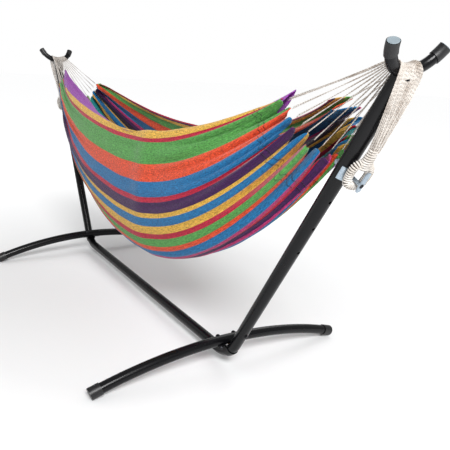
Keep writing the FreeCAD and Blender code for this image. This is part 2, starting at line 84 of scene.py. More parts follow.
# ---- finishes ----
class Graph:
    """A material's node tree, with short ways to add and join nodes."""

    def __init__(self, name: str) -> None:
        """Starts a material with a Principled shader."""
        self.material = bpy.data.materials.new(name)
        self.material.use_nodes = True
        self.nodes = self.material.node_tree.nodes
        self.links = self.material.node_tree.links
        self.shader = self.nodes["Principled BSDF"]

    def add(self, kind: str, inputs: dict | None = None, **settings: object) -> bpy.types.Node:
        """Adds one node.

        Args:
            kind: the node's class name.
            inputs: values or sockets for its inputs, by name or number.
            settings: values for its own properties.

        Returns:
            The node.
        """
        node = self.nodes.new(kind)
        for key, value in settings.items():
            setattr(node, key, value)
        for key, value in (inputs or {}).items():
            if isinstance(value, bpy.types.NodeSocket):
                self.links.new(value, node.inputs[key])
            else:
                node.inputs[key].default_value = value
        return node

    def math(self, operation: str, first: object, second: object = 0.0) -> bpy.types.NodeSocket:
        """The output of a Math node."""
        return self.add("ShaderNodeMath", {0: first, 1: second}, operation=operation).outputs[0]

    def coords(self, uv: bool = False) -> bpy.types.NodeSocket:
        """Object coordinates, or the piece's own UV map."""
        if uv:
            return self.add("ShaderNodeUVMap", uv_map="UVMap").outputs["UV"]
        return self.add("ShaderNodeTexCoord").outputs["Object"]

    def scaled(self, vector: bpy.types.NodeSocket, scale: tuple) -> bpy.types.NodeSocket:
        """Coordinates stretched by a Mapping node."""
        return self.add("ShaderNodeMapping", {"Vector": vector, "Scale": scale}).outputs[0]

    def grain(self, vector: bpy.types.NodeSocket, scale: float, detail: float = 3.0,
              rough: float = 0.55) -> bpy.types.NodeSocket:
        """Noise from 0 to 1."""
        node = self.add("ShaderNodeTexNoise", {"Vector": vector, "Scale": scale, "Detail": detail,
                                               "Roughness": rough})
        return node.outputs[0]

    def ramp(self, share: bpy.types.NodeSocket, stops: list[tuple[float, Colour]],
             step: bool = False) -> bpy.types.NodeSocket:
        """A colour ramp.

        Args:
            share: the ramp's input.
            stops: place and linear colour of each stop.
            step: whether colours change at once rather than blending.

        Returns:
            The ramp's colour output.
        """
        node = self.add("ShaderNodeValToRGB", {0: share})
        ramp = node.color_ramp
        ramp.interpolation = "CONSTANT" if step else "LINEAR"
        while len(ramp.elements) < len(stops):
            ramp.elements.new(1.0)
        for element, (place, colour) in zip(ramp.elements, stops):
            element.position = place
        for element, (place, colour) in zip(ramp.elements, stops):
            element.color = (*colour, 1.0)
        return node.outputs[0]

    def mix(self, share: object, first: object, second: object,
            blend: str = "MIX") -> bpy.types.NodeSocket:
        """A mix of two colours."""
        node = self.add("ShaderNodeMix", data_type="RGBA", blend_type=blend)
        for key, value in ((0, share), (6, first), (7, second)):
            if isinstance(value, bpy.types.NodeSocket):
                self.links.new(value, node.inputs[key])
            else:
                node.inputs[key].default_value = value if key == 0 else (*value, 1.0)
        return node.outputs[2]

    def bump(self, height: bpy.types.NodeSocket, depth: float, strength: float = 0.6,
             before: bpy.types.NodeSocket | None = None) -> bpy.types.NodeSocket:
        """A bump normal.

        Args:
            height: the height pattern.
            depth: its height in metres.
            strength: how much of it shows.
            before: a bump that this one adds to.

        Returns:
            The normal output.
        """
        inputs = {"Height": height, "Distance": depth, "Strength": strength}
        if before is not None:
            inputs["Normal"] = before
        return self.add("ShaderNodeBump", inputs).outputs[0]

    def finish(self, **inputs: object) -> bpy.types.Material:
        """Sets the shader's inputs and gives the material.

        Args:
            inputs: values or sockets by the shader's input names, with _ for a space.

        Returns:
            The material.
        """
        for key, value in inputs.items():
            socket = self.shader.inputs[key.replace("_", " ")]
            if isinstance(value, bpy.types.NodeSocket):
                self.links.new(value, socket)
            else:
                socket.default_value = value
        return self.material


@dataclass(frozen=True)
class PowderCoat:
    """Black powder coat with a fine orange peel and a little dust."""

    name: str = "powder_coat_black"
    dark: Colour = linear(6, 6, 8)
    dusty: Colour = linear(18, 18, 21)

    def material(self) -> bpy.types.Material:
        """Builds the finish."""
        g = Graph(self.name)
        place = g.coords()
        peel = g.grain(place, 900.0, 2.0)
        cloud = g.grain(place, 9.0, 5.0, 0.65)
        fine = g.grain(place, 2600.0, 1.0)
        colour = g.mix(g.math("MULTIPLY", cloud, 0.5), self.dark, self.dusty)
        rough = g.math("ADD", g.math("MULTIPLY", cloud, 0.14), 0.20)
        normal = g.bump(fine, 0.00004, 0.25, g.bump(peel, 0.00022, 0.35))
        return g.finish(Base_Color=colour, Roughness=rough, Normal=normal, Specular_IOR_Level=0.20,
                        Coat_Weight=0.07, Coat_Roughness=0.08)


@dataclass(frozen=True)
class MouldedPlastic:
    """Moulded plastic with a fine spark-eroded grain."""

    name: str
    colour: Colour
    scuffed: Colour
    roughness: float = 0.5

    def material(self) -> bpy.types.Material:
        """Builds the finish."""
        g = Graph(self.name)
        place = g.coords()
        grain = g.grain(place, 1500.0, 2.0)
        scuff = g.grain(g.scaled(place, (1.0, 1.0, 3.0)), 40.0, 6.0, 0.7)
        share = g.ramp(scuff, [(0.52, (0, 0, 0)), (0.72, (0.6, 0.6, 0.6))])
        colour = g.mix(share, self.colour, self.scuffed)
        rough = g.math("ADD", g.math("MULTIPLY", scuff, 0.18), self.roughness - 0.09)
        return g.finish(Base_Color=colour, Roughness=rough, Normal=g.bump(grain, 0.00012, 0.4))


@dataclass(frozen=True)
class PlatedSteel:
    """Plated or blackened steel with a faint spangle and drawn grain."""

    name: str
    bright: Colour
    dull: Colour
    roughness: float
    metallic: float = 1.0

    def material(self) -> bpy.types.Material:
        """Builds the finish."""
        g = Graph(self.name)
        place = g.coords()
        spangle = g.add("ShaderNodeTexVoronoi", {"Vector": place, "Scale": 260.0}).outputs["Distance"]
        haze = g.grain(place, 70.0, 5.0, 0.65)
        drawn = g.grain(g.scaled(place, (1.0, 1.0, 12.0)), 420.0, 2.0)
        colour = g.mix(g.math("ADD", g.math("MULTIPLY", spangle, 0.5), g.math("MULTIPLY", haze, 0.5)),
                       self.bright, self.dull)
        rough = g.math("ADD", g.math("MULTIPLY", haze, 0.22), self.roughness - 0.1)
        normal = g.bump(drawn, 0.00006, 0.3, g.bump(spangle, 0.0001, 0.12))
        return g.finish(Base_Color=colour, Roughness=rough, Metallic=self.metallic, Normal=normal)


@dataclass(frozen=True)
class CottonCord:
    """Natural cotton cord: yarn fibres, soft nap and a little grime."""

    name: str
    pale: Colour
    grimy: Colour

    def material(self) -> bpy.types.Material:
        """Builds the finish."""
        g = Graph(self.name)
        place = g.coords()
        fibre = g.grain(place, 1400.0, 3.0, 0.7)
        stain = g.grain(place, 26.0, 5.0, 0.6)
        colour = g.mix(g.ramp(stain, [(0.42, (0, 0, 0)), (0.72, (1, 1, 1))]), self.pale, self.grimy)
        shade = g.ramp(fibre, [(0.3, (0.45, 0.43, 0.4)), (0.7, (1, 1, 1))])
        colour = g.mix(0.28, colour, shade, "MULTIPLY")
        return g.finish(Base_Color=colour, Roughness=0.9, Sheen_Weight=0.25, Sheen_Roughness=0.5,
                        Specular_IOR_Level=0.2, Normal=g.bump(fibre, 0.0004, 0.55))


@dataclass(frozen=True)
class Stripe:
    """One stripe of the cloth: where it starts across the cloth, and its colour."""

    start: float
    colour: Colour


GOLD = linear(224, 176, 72)
CRIMSON = linear(186, 22, 58)
GREEN = linear(86, 158, 76)
ORANGE = linear(226, 80, 44)
BLUE = linear(26, 112, 168)
PURPLE = linear(62, 20, 78)
VIOLET = linear(150, 62, 170)
MAGENTA = linear(186, 42, 110)
INK = linear(34, 12, 42)
TEAL = linear(36, 140, 146)

NEAR_STRIPES = [
    Stripe(0.0, VIOLET), Stripe(0.064, GOLD), Stripe(0.0885, CRIMSON), Stripe(0.098, GREEN),
    Stripe(0.161, ORANGE), Stripe(0.211, BLUE), Stripe(0.260, CRIMSON), Stripe(0.277, PURPLE),
    Stripe(0.309, GOLD), Stripe(0.328, BLUE), Stripe(0.353, GOLD), Stripe(0.381, CRIMSON),
    Stripe(0.399, GREEN), Stripe(0.427, ORANGE), Stripe(0.446, BLUE), Stripe(0.478, MAGENTA),
    Stripe(0.495, CRIMSON), Stripe(0.512, PURPLE), Stripe(0.534, MAGENTA), Stripe(0.552, BLUE),
    Stripe(0.572, ORANGE), Stripe(0.584, GREEN),
]
FAR_STRIPES = [
    Stripe(0.0, GREEN), Stripe(0.616, ORANGE), Stripe(0.636, VIOLET), Stripe(0.66, GOLD),
    Stripe(0.682, BLUE), Stripe(0.705, GREEN), Stripe(0.735, CRIMSON), Stripe(0.752, TEAL),
    Stripe(0.782, CRIMSON), Stripe(0.796, GOLD), Stripe(0.826, BLUE), Stripe(0.856, GOLD),
    Stripe(0.864, INK), Stripe(0.888, PURPLE), Stripe(0.899, MAGENTA), Stripe(0.911, BLUE),
    Stripe(0.938, ORANGE), Stripe(0.963, GREEN), Stripe(0.984, GOLD), Stripe(0.989, PURPLE),
    Stripe(0.9945, CRIMSON),
]


@dataclass(frozen=True)
class StripedCotton:
    """Thick hand-woven cotton: warp stripes, slubby yarn, ribbed weave and sewn end lines."""

    name: str = "striped_cotton"
    width: float = 1.43
    length: float = 2.1
    yarn: float = 0.0034

    def stripes(self, g: Graph, across: bpy.types.NodeSocket) -> bpy.types.NodeSocket:
        """The stripe colour from the place across the cloth."""
        near = g.ramp(across, [(s.start, s.colour) for s in NEAR_STRIPES], True)
        far = g.ramp(across, [(s.start, s.colour) for s in FAR_STRIPES], True)
        return g.mix(g.math("GREATER_THAN", across, 0.598), near, far)

    def material(self) -> bpy.types.Material:
        """Builds the finish."""
        g = Graph(self.name)
        uv = g.coords(uv=True)
        metres = g.scaled(uv, (self.width, self.length, 1.0))
        wobble = g.grain(g.scaled(metres, (40.0, 5.0, 1.0)), 1.0, 2.0)
        parts = g.add("ShaderNodeSeparateXYZ", {0: uv})
        across = g.math("ADD", parts.outputs[0],
                        g.math("MULTIPLY", g.math("SUBTRACT", wobble, 0.5), 0.003))
        colour = self.stripes(g, across)
        slub = g.grain(g.scaled(metres, (1 / self.yarn, 42.0, 1.0)), 1.0, 2.0, 0.6)
        fleck = g.grain(g.scaled(metres, (190.0, 120.0, 1.0)), 1.0, 3.0, 0.7)
        colour = g.mix(1.0, colour, g.ramp(slub, [(0.25, (0.5, 0.5, 0.52)), (0.75, (1.25, 1.25, 1.22))]),
                       "MULTIPLY")
        shade = g.ramp(fleck, [(0.3, (0.32, 0.3, 0.33)), (0.5, (0.95, 0.95, 0.95)),
                               (0.75, (1.5, 1.45, 1.35))])
        colour = g.mix(0.9, colour, shade, "MULTIPLY")
        metre = g.add("ShaderNodeSeparateXYZ", {0: metres})
        warp = g.math("SINE", g.math("MULTIPLY", metre.outputs[0], 2 * math.pi / self.yarn))
        weft = g.math("SINE", g.math("MULTIPLY", metre.outputs[1], 2 * math.pi / (self.yarn * 1.2)))
        weave = g.math("MULTIPLY", warp, weft)
        seam = self.seam(g, metre.outputs[1])
        colour = g.mix(g.math("MULTIPLY", seam, 0.55), colour, linear(70, 40, 60), "MULTIPLY")
        ribs = g.bump(g.math("ADD", g.math("MULTIPLY", weave, 0.25), slub), 0.0011, 0.8)
        normal = g.bump(seam, -0.0016, 0.8, ribs)
        rough = g.math("ADD", g.math("MULTIPLY", fleck, 0.12), 0.82)
        return g.finish(Base_Color=colour, Roughness=rough, Normal=normal, Sheen_Weight=0.22,
                        Sheen_Roughness=0.45, Specular_IOR_Level=0.15)

    def seam(self, g: Graph, along: bpy.types.NodeSocket) -> bpy.types.NodeSocket:
        """Two sewn lines across each end, 1 on a line and 0 elsewhere."""
        from_end = g.math("MINIMUM", along, g.math("SUBTRACT", self.length, along))
        first = g.math("COMPARE", from_end, 0.105)
        second = g.math("COMPARE", from_end, 0.125)
        for socket in (first, second):
            socket.node.inputs[2].default_value = 0.0022
        return g.math("MAXIMUM", first, second)


@dataclass(frozen=True)
class StudioFloor:
    """Pale floor that turns white away from the object through a painted glow."""

    name: str = "studio_floor"
    near: Colour = (0.86, 0.865, 0.87)

    def material(self) -> bpy.types.Material:
        """Builds the finish."""
        g = Graph(self.name)
        place = g.coords()
        # Painted glow: the floor's emission grows with the distance from the middle, so it turns white away from the
        # stand.
        reach = g.add("ShaderNodeVectorMath", {0: place}, operation="LENGTH").outputs["Value"]
        share = g.add("ShaderNodeMapRange", {0: reach, 1: 0.9, 2: 3.6}).outputs[0]
        grain = g.grain(place, 14.0, 3.0)
        colour = g.mix(g.math("MULTIPLY", grain, 0.03), self.near, (0.7, 0.7, 0.7))
        return g.finish(Base_Color=colour, Roughness=0.75, Emission_Color=(1.0, 1.0, 1.0, 1.0),
                        Emission_Strength=g.math("MULTIPLY", share, 0.62))


BLACK_CAP = MouldedPlastic("cap_plastic_black", linear(12, 12, 14), linear(36, 36, 40), 0.42)
# Pale blue-grey for the fork cap discs: a painted reflection of the white surroundings in the black cap's end.
PAINTED_REFLECTION_DISC = MouldedPlastic("cap_disc_grey", linear(126, 138, 145), linear(158, 168, 172), 0.55)
ZINC = PlatedSteel("zinc_plate", linear(196, 208, 218), linear(132, 148, 162), 0.38)
BLACK_OXIDE = PlatedSteel("black_oxide_screws", linear(46, 46, 50), linear(24, 24, 27), 0.42, 0.85)
DARK_BORE = PlatedSteel("dark_rivet", linear(40, 42, 46), linear(18, 18, 20), 0.5, 0.8)
WHITE_CORD = CottonCord("cotton_cord", linear(222, 217, 211), linear(178, 169, 158))
# Dark brown cord for the cores under the whippings: the same cotton as the white cord, darkened as painted shade for
# the gaps between the turns.
SHADED_CORE_CORD = CottonCord("cotton_cord_core", linear(96, 84, 74), linear(64, 54, 48))
# Darker copy of the white cord for the second string of each pair: painted shade, lit and shaded strings of one
# cord.
SHADE_CORD = CottonCord("cotton_cord_fan", linear(206, 198, 190), linear(150, 134, 122))


# ---- mesh tools ----
def piece_from(mesh: bpy.types.Mesh, name: str, material: bpy.types.Material, body: Body | None) -> bpy.types.Object:
    """Turns a finished mesh into a piece of the model.

    Args:
        mesh: the mesh, already in place.
        name: the piece's name.
        material: its material.
        body: the body it rides on, or None for a piece that rides on no body.

    Returns:
        The object.
    """
    mesh.name = name
    mesh.materials.clear()
    mesh.materials.append(material)
    piece = bpy.data.objects.new(name, mesh)
    bpy.context.scene.collection.objects.link(piece)
    for polygon in mesh.polygons:
        polygon.use_smooth = True
    if body is not None:
        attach(piece, body.value)
    return piece


def mesh_of(bm: bmesh.types.BMesh) -> bpy.types.Mesh:
    """A mesh from a bmesh, which is freed."""
    bmesh.ops.recalc_face_normals(bm, faces=bm.faces)
    mesh = bpy.data.meshes.new("mesh")
    bm.to_mesh(mesh)
    bm.free()
    return mesh


def curve_mesh(lines: list[list[Point]], radius: float, sides: int = 1, kind: str = "POLY",
               closed: bool = False) -> bpy.types.Mesh:
    """A mesh of round tubes, or of bare lines where the radius is nought.

    Args:
        lines: the points of each tube.
        radius: the tubes' radius.
        sides: Blender's bevel resolution.
        kind: POLY or NURBS.
        closed: whether each line meets itself.

    Returns:
        The mesh.
    """
    data = bpy.data.curves.new("line", "CURVE")
    data.dimensions = "3D"
    data.bevel_depth = radius
    data.bevel_resolution = sides
    data.use_fill_caps = radius > 0
    data.resolution_u = 12
    for line in lines:
        spline = data.splines.new(kind)
        spline.points.add(len(line) - 1)
        for point, place in zip(spline.points, line):
            point.co = (*place, 1.0)
        spline.use_cyclic_u = closed
        if kind == "NURBS":
            spline.order_u = 3
            spline.use_endpoint_u = True
    holder = bpy.data.objects.new("line", data)
    mesh = bpy.data.meshes.new_from_object(holder)
    bpy.data.objects.remove(holder)
    bpy.data.curves.remove(data)
    return mesh


def runs_of(line: list[Point]) -> list[float]:
    """The distance along a line to each of its points."""
    runs = [0.0]
    for before, after in zip(line, line[1:]):
        runs.append(runs[-1] + (after - before).length)
    return runs


def points_at(line: list[Point], runs: list[float], wanted: list[float]) -> list[Point]:
    """Points at given distances along a line.

    Args:
        line: the line's points.
        runs: the distance to each of them.
        wanted: the distances of the points wanted, smallest first.

    Returns:
        A point for each distance.
    """
    points, run = [], 0
    for place in wanted:
        while run < len(runs) - 2 and runs[run + 1] < place:
            run += 1
        share = (place - runs[run]) / max(runs[run + 1] - runs[run], 1e-9)
        points.append(line[run].lerp(line[run + 1], min(max(share, 0.0), 1.0)))
    return points


def spline_points(route: list[Point], spacing: float) -> list[Point]:
    """Evenly spaced points read from the smooth line of a route.

    Args:
        route: the route's points.
        spacing: the distance between the points wanted.

    Returns:
        The points, from the route's start to its end.
    """
    mesh = curve_mesh([route], 0.0, 0, "NURBS")
    read = [vertex.co.copy() for vertex in mesh.vertices]
    bpy.data.meshes.remove(mesh)
    if (read[0] - route[0]).length > (read[-1] - route[0]).length:
        read.reverse()
    runs = runs_of(read)
    count = max(2, round(runs[-1] / spacing))
    return points_at(read, runs, [runs[-1] * index / count for index in range(count + 1)])


def cross_axes(points: list[Point], start_side: Vector) -> list[tuple[Vector, Vector]]:
    """Two axes square to a line at each of its points, which don't twist along it.

    Args:
        points: the line.
        start_side: a rough direction for the first axis at the start.

    Returns:
        A pair of unit vectors for each point.
    """
    axes, side = [], start_side
    for index, point in enumerate(points):
        ahead = points[min(index + 1, len(points) - 1)] - points[max(index - 1, 0)]
        ahead = ahead.normalized()
        side = (side - ahead * side.dot(ahead)).normalized()
        axes.append((side, ahead.cross(side)))
    return axes


def wound(points: list[Point], radius: float, pitch: float, phase: float,
          start_side: Vector = Vector((0, 1, 0.01))) -> list[Point]:
    """A line wound round another, for a rope's strand or a whipping.

    Args:
        points: the evenly spaced line that it goes round.
        radius: its distance from that line.
        pitch: the length of one turn along the line.
        phase: where round the line it starts, in turns.
        start_side: a rough direction for the start.

    Returns:
        The wound line's points.
    """
    axes = cross_axes(points, start_side)
    step = runs_of(points)[-1] / max(len(points) - 1, 1)
    line = []
    for index, (point, (side, other)) in enumerate(zip(points, axes)):
        turn = 2 * math.pi * (index * step / pitch + phase)
        line.append(point + side * (radius * math.cos(turn)) + other * (radius * math.sin(turn)))
    return line


# ---- stand ----
@dataclass
class PostFrame:
    """The right post's line, which the fork, the hook and the ropes are placed from."""

    saddle: Point = field(default_factory=lambda: Vector((1.265, 0.0, 1.075)))
    corner: Point = field(default_factory=lambda: Vector((0.773, 0.0, 0.048)))
    tube_d: float = 0.045
    fork_d: float = 0.027
    fork_r: float = 0.096

    @property
    def up(self) -> Vector:
        """Direction up the post."""
        return (self.saddle - self.corner).normalized()

    @property
    def out(self) -> Vector:
        """Direction square to the post, away from the bed."""
        return Vector((self.up.z, 0.0, -self.up.x))

    @property
    def fork_centre(self) -> Point:
        """Centre of the fork's bend."""
        return self.saddle + self.up * self.fork_r

    def on_post(self, down: float, out: float = 0.0, across: float = 0.0) -> Point:
        """A point beside the post, from its distance below the saddle."""
        return self.saddle - self.up * down + self.out * out + Vector((0, across, 0))

    def on_fork(self, angle: float, contact: float, gap: float) -> Point:
        """A point beside the fork.

        Args:
            angle: place along the fork, in degrees from its lowest point.
            contact: place round the fork's tube, in degrees from its outer side.
            gap: distance from the fork's centre line.

        Returns:
            The point.
        """
        turn, side = math.radians(angle), math.radians(contact)
        inward = self.up * math.cos(turn) - Vector((0, 1, 0)) * math.sin(turn)
        centre = self.fork_centre - inward * self.fork_r
        return centre + self.out * (gap * math.cos(side)) + inward * (gap * math.sin(side))


@dataclass
class Stand:
    """The steel stand: the CAD pieces' finishes, cap discs, weld beads and hook details."""

    post: PostFrame = field(default_factory=PostFrame)
    disc_r: float = 0.0138
    disc_rise: float = 0.0012
    half_deg: float = 68.0

    def dress(self) -> None:
        """Gives every carried-over CAD piece its finish."""
        coat, zinc, black = PowderCoat().material(), ZINC.material(), BLACK_OXIDE.material()
        cap = BLACK_CAP.material()
        finishes = {
            "centre_beam": coat, "elbow": coat, "post": coat, "fork": coat, "foot_tube": coat,
            "foot_bracket": coat, "fork_caps": cap, "foot_caps": cap, "joint_bolts": black,
            "foot_bolts": black, "foot_nuts": black, "thread_inserts": zinc, "hook_band": zinc,
            "hook_bolt": zinc, "hook_plate": zinc, "hook_nut": zinc,
        }
        for name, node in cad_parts.items():
            kind = name.replace("_right", "").replace("_left", "")
            if kind not in finishes:
                continue
            node.data.materials.clear()
            node.data.materials.append(finishes[kind])
            log.info("dressed %s in %s", name, finishes[kind].name)

    def cap_disc(self, end: End, side: int, material: bpy.types.Material) -> bpy.types.Object:
        """The disc in the end of a fork cap, pale grey with a painted reflection of the white surroundings.

        Args:
            end: which end of the stand.
            side: 1 or -1, for the arm.
            material: the disc's finish.

        Returns:
            The piece.
        """
        angle = math.radians(self.half_deg) * side
        across = Vector((0, 1, 0))
        inward = self.post.up * math.cos(angle) - across * math.sin(angle)
        ahead = (across * math.cos(angle) + self.post.up * math.sin(angle)) * side
        centre = self.post.fork_centre - inward * self.post.fork_r + ahead * 0.0001
        bm = bmesh.new()
        bmesh.ops.create_circle(bm, cap_ends=True, cap_tris=False, segments=40, radius=self.disc_r)
        face = bm.faces[:]
        grown = bmesh.ops.extrude_face_region(bm, geom=face)["geom"]
        top = [part for part in grown if isinstance(part, bmesh.types.BMVert)]
        bmesh.ops.translate(bm, vec=(0, 0, self.disc_rise), verts=top)
        rim = [edge for edge in bm.edges if all(v.co.z > self.disc_rise / 2 for v in edge.verts)]
        bmesh.ops.bevel(bm, geom=rim, offset=0.0005, affect="EDGES", segments=2, profile=0.5,
                        material=-1)
        inset = [face for face in bm.faces if face.normal.z > 0.99 or len(face.verts) > 8]
        inset = [face for face in inset if all(v.co.z > self.disc_rise * 0.7 for v in face.verts)]
        bmesh.ops.inset_region(bm, faces=inset, thickness=0.0022, depth=-0.0004)
        turn = Vector((0, 0, 1)).rotation_difference(ahead).to_matrix().to_4x4()
        bmesh.ops.transform(bm, matrix=Matrix.Translation(centre) @ turn, verts=bm.verts)
        self.take_to(bm, end)
        name = f"fork_cap_disc_{end.value}_{'far' if side > 0 else 'near'}"
        return piece_from(mesh_of(bm), name, material, Body.STAND)

    @staticmethod
    def take_to(bm: bmesh.types.BMesh, end: End) -> None:
        """Turns a mesh made for the right end to the end where it belongs."""
        if end is End.LEFT:
            bmesh.ops.rotate(bm, cent=(0, 0, 0), matrix=Matrix.Rotation(math.pi, 3, "Z"), verts=bm.verts)

    def weld_bead(self, end: End, material: bpy.types.Material) -> bpy.types.Object:
        """The rippled weld round the top of the post, under the fork."""
        radius = self.post.tube_d / 2
        seat = self.post.fork_d / 2
        points = []
        for index in range(96):
            turn = 2 * math.pi * index / 96
            across = radius * math.sin(turn)
            lift = math.sqrt(max(seat ** 2 - (radius * math.cos(turn)) ** 2, 0.0))
            saddle = self.post.fork_r - math.sqrt(self.post.fork_r ** 2 - across ** 2)
            ripple = 0.0005 * math.sin(turn * 31)
            points.append(self.post.on_post(max(0.0085, lift - saddle) + ripple,
                                            (radius + 0.0002) * math.cos(turn), across))
        lines = [[end.place(point) for point in points]]
        mesh = curve_mesh(lines, 0.0019, 2, "POLY", True)
        return piece_from(mesh, f"fork_weld_{end.value}", material, Body.STAND)

    def plate_rivet(self, end: End, material: bpy.types.Material) -> bpy.types.Object:
        """The peened end of the hook's bolt in its cross plate."""
        bm = bmesh.new()
        bmesh.ops.create_uvsphere(bm, u_segments=28, v_segments=12, radius=0.0062)
        bmesh.ops.scale(bm, vec=(1, 1, 0.42), verts=bm.verts)
        flat = [v for v in bm.verts if v.co.z > 0.0019]
        bmesh.ops.scale(bm, vec=(1, 1, 0.55), verts=flat)
        turn = Vector((0, 0, 1)).rotation_difference(self.post.out).to_matrix().to_4x4()
        place = Matrix.Translation(self.post.on_post(0.256, 0.0772))
        bmesh.ops.transform(bm, matrix=place @ turn, verts=bm.verts)
        self.take_to(bm, end)
        return piece_from(mesh_of(bm), f"plate_rivet_{end.value}", material, Body.STAND)

    def build(self) -> None:
        """Dresses the CAD pieces and adds the small ones."""
        self.dress()
        # The cap discs take the pale grey of a painted reflection.
        grey, coat = PAINTED_REFLECTION_DISC.material(), PowderCoat("powder_coat_weld").material()
        dark = DARK_BORE.material()
        for end in End:
            for side in (-1, 1):
                log.info("made %s", self.cap_disc(end, side, grey).name)
            log.info("made %s", self.weld_bead(end, coat).name)
            log.info("made %s", self.plate_rivet(end, dark).name)


# ---- cloth ----
LIP_POINTS = 8
TROUGH_STEPS = 160


@dataclass
class Reach:
    """How one end of the bed lies: its reach along the stand and its heights, in metres."""

    middle: float
    skew: float
    bulge: float
    near_z: float
    far_z: float
    bottom_z: float
    near_climb: float
    far_climb: float


@dataclass
class Cloth:
    """The hammock's bed: one gathered sheet with a folded lip, fingers at its ends and hems."""

    right: Reach = field(default_factory=lambda: Reach(
        middle=1.0125, skew=0.0475, bulge=0.1075, near_z=1.008, far_z=1.022, bottom_z=0.889,
        near_climb=1.9, far_climb=1.8))
    left: Reach = field(default_factory=lambda: Reach(
        middle=0.8875, skew=-0.0975, bulge=0.1325, near_z=0.986, far_z=0.976, bottom_z=0.872,
        near_climb=1.25, far_climb=1.8))
    low_z: tuple[float, float] = (0.842, 0.270)
    low_at: tuple[float, float] = (0.20, 0.10)
    half_w: tuple[float, float] = (0.195, 0.066)
    powers: tuple[float, float] = (2.2, 2.5)
    squareness: float = 2.48
    ease: float = 0.12
    lip: float = 0.105
    girth: float = 1.35
    fingers: int = 16
    finger_deep: float = 0.060
    rows: int = 236
    columns: int = 184
    thickness: float = 0.0022

    @property
    def lip_share(self) -> float:
        """The lip's share of the sheet's width."""
        return self.lip / (self.lip + self.girth)

    @property
    def finger_share(self) -> float:
        """One finger's share of the sheet's width, beyond the lip."""
        return (1 - self.lip_share) / (self.fingers - 1)

    def edge_height(self, along: float, side: float) -> float:
        """Height of the side edge.

        Args:
            along: place from the left end, -1, to the right end, 1.
            side: 0 for the near edge, 1 for the far edge.

        Returns:
            The height in metres.
        """
        heights = []
        for far, low_at in enumerate(self.low_at):
            end = self.right if along >= low_at else self.left
            away = min(abs(along - low_at) / (1 - low_at if along >= low_at else 1 + low_at), 1.0)
            eased = (math.hypot(away, self.ease) - self.ease) / (math.hypot(1, self.ease) - self.ease)
            top, climb = (end.far_z, end.far_climb) if far else (end.near_z, end.near_climb)
            heights.append(self.low_z[0] + (top - self.low_z[0]) * eased ** climb)
        return heights[0] * (1 - side) + heights[1] * side

    def base(self, along: float, across: float) -> Point:
        """The smooth trough; along and across run from -1 to 1."""
        end = self.right if along >= 0 else self.left
        half_turn = across * math.pi / 2
        power = 2 / self.squareness
        sine = math.copysign(abs(math.sin(half_turn)) ** power, half_turn)
        cosine = abs(math.cos(half_turn)) ** power
        size = min(abs(along), 1.0)
        edge = self.edge_height(along, (across + 1) / 2)
        bottom = self.low_z[1] + (end.bottom_z - self.low_z[1]) * size ** self.powers[0]
        half = self.half_w[1] + (self.half_w[0] - self.half_w[1]) * (1 - size ** self.powers[1])
        x = along * (end.middle + end.skew * sine + end.bulge * cosine)
        return Vector((x, half * sine, edge - (edge - bottom) * cosine))

    def row(self, along: float, places: list[float]) -> list[Point]:
        """Points of one row of the smooth sheet at even shares of its own width.

        Args:
            along: the row's place from -1 to 1.
            places: shares of the width, from 0 at the lip's edge to 1 at the far edge.

        Returns:
            A point for each share.
        """
        size = abs(along)
        if along < 0:
            lean, wide = math.radians(-42 + 48 * size ** 0.8), self.lip * (1 - 0.56 * size ** 3)
        else:
            lean, wide = math.radians(-42 + 20 * size ** 3), self.lip * (1 - 0.62 * size ** 3)
        edge = self.base(along, -1)
        lip = []
        for index in range(LIP_POINTS):
            share = index / LIP_POINTS
            reach, turn = wide * (1 - share), lean * (1 - share / 2)
            lip.append(edge + Vector((0, reach * math.cos(turn), reach * math.sin(turn))))
        dense = lip + [self.base(along, -1 + 2 * k / TROUGH_STEPS) for k in range(TROUGH_STEPS + 1)]
        runs, lip_share = runs_of(dense), self.lip_share
        edge_run, full = runs[LIP_POINTS], runs[-1]
        wanted = [edge_run * place / lip_share if place < lip_share
                  else edge_run + (full - edge_run) * (place - lip_share) / (1 - lip_share)
                  for place in places]
        return points_at(dense, runs, wanted)

    def finger_centres(self) -> list[float]:
        """Shares of the width at the middle of each finger, the lip being the first finger."""
        starts = [self.lip_share + self.finger_share * k for k in range(self.fingers - 1)]
        return [self.lip_share / 2] + [start + self.finger_share / 2 for start in starts]

    def finger_phase(self, place: float) -> float:
        """Place across a finger: 0 at its middle and 1 at the slit beside it."""
        if place < self.lip_share:
            return abs(place / self.lip_share - 0.5) * 2
        return abs(((place - self.lip_share) / self.finger_share) % 1.0 - 0.5) * 2

    def fold(self, along: float, place: float, end: int) -> float:
        """How far a point stands out from the smooth sheet, in metres.

        Args:
            along: its place from -1 to 1.
            place: its share of the width.
            end: 1 or -1, for the nearer end.

        Returns:
            The distance outwards.
        """
        size = abs(along)
        near_end = max(0.0, 1 - size)
        phase = self.finger_phase(place)
        pleat = math.cos(math.pi * phase)
        depth = 0.0085 * math.exp(-near_end / 0.08) + 0.0085 * math.exp(-near_end / 0.30)
        jitter = noise.noise(Vector((place * 31.0, 7.3 * end, 0.5)))
        pull = noise.noise(Vector((place * 22.0, along * 1.6, 4.1 + end)))
        sag = noise.noise(Vector((place * 5.0, along * 2.4, 9.7)))
        small = noise.noise(Vector((place * 60.0, along * 9.0, 2.2)))
        crease = math.exp(-((along - 0.40 + 0.45 * place) / 0.07) ** 2 - ((place - 0.2) / 0.2) ** 2)
        gather = noise.noise(Vector((place * 64.0, along * 2.6, 12.4)))
        return (depth * pleat * (1 + 0.8 * jitter) + pull * 0.026 * size ** 1.5 + sag * 0.014
                + gather * 0.0165 * size + small * 0.0024 + crease * 0.012)

